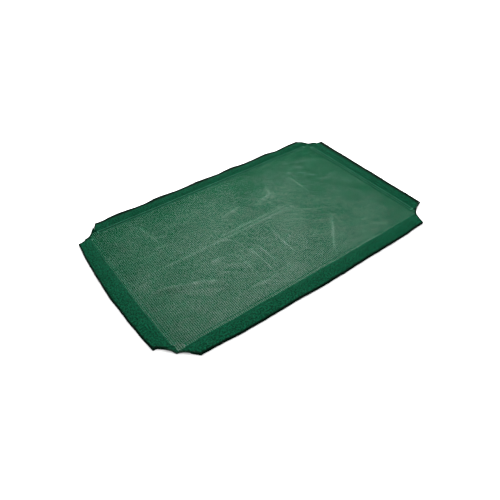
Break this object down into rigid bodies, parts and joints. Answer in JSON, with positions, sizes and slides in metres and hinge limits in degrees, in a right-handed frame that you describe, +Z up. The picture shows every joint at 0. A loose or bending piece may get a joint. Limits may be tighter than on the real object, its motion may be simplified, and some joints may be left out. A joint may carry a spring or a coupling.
{
  "type": "elevated pet bed cover",
  "caption": "Flat slip-on cover of an elevated pet bed: knitted mesh panel with a folded rail sleeve along each side and cut-away corners.",
  "frame": {"origin": "on the floor under the middle of the panel", "axes": "+X along the length, +Y across the width towards the rear sleeve, +Z up out of the fabric's upper face"},
  "size_m": [1.08, 0.684, 0.008],
  "materials": {
    "mesh_fabric": "knitted mesh, one layer, semi-matt",
    "sleeve_fabric": "knitted mesh, folded double, semi-matt",
    "sewing_thread": "polyester thread, slight sheen",
    "edge_thread": "overlock thread, matt"
  },
  "bodies": {
    "panel": {"mesh_panel": "mesh_fabric", "front_left_corner_overlock": "edge_thread", "front_right_corner_overlock": "edge_thread", "rear_left_corner_overlock": "edge_thread", "rear_right_corner_overlock": "edge_thread"},
    "front_flap": {"front_sleeve": "sleeve_fabric", "front_inner_stitching": "sewing_thread", "front_outer_stitching": "sewing_thread", "front_bar_tacks": "sewing_thread", "front_mouth_overlocks": "edge_thread"},
    "rear_flap": {"rear_sleeve": "sleeve_fabric", "rear_inner_stitching": "sewing_thread", "rear_outer_stitching": "sewing_thread", "rear_bar_tacks": "sewing_thread", "rear_mouth_overlocks": "edge_thread"},
    "left_flap": {"left_sleeve": "sleeve_fabric", "left_inner_stitching": "sewing_thread", "left_outer_stitching": "sewing_thread", "left_bar_tacks": "sewing_thread", "left_mouth_overlocks": "edge_thread"},
    "right_flap": {"right_sleeve": "sleeve_fabric", "right_inner_stitching": "sewing_thread", "right_outer_stitching": "sewing_thread", "right_bar_tacks": "sewing_thread", "right_mouth_overlocks": "edge_thread"}
  },
  "joints": [
    {"name": "front_fold", "type": "hinge", "parent": "panel", "child": "front_flap", "pos_m": [0, -0.278, 0.001], "axis": [-1, 0, 0], "range_deg": [0, 90]},
    {"name": "rear_fold", "type": "hinge", "parent": "panel", "child": "rear_flap", "pos_m": [0, 0.278, 0.001], "axis": [1, 0, 0], "range_deg": [0, 90]},
    {"name": "left_fold", "type": "hinge", "parent": "panel", "child": "left_flap", "pos_m": [-0.476, 0, 0.001], "axis": [0, 1, 0], "range_deg": [0, 90]},
    {"name": "right_fold", "type": "hinge", "parent": "panel", "child": "right_flap", "pos_m": [0.476, 0, 0.001], "axis": [0, -1, 0], "range_deg": [0, 90]}
  ]
}
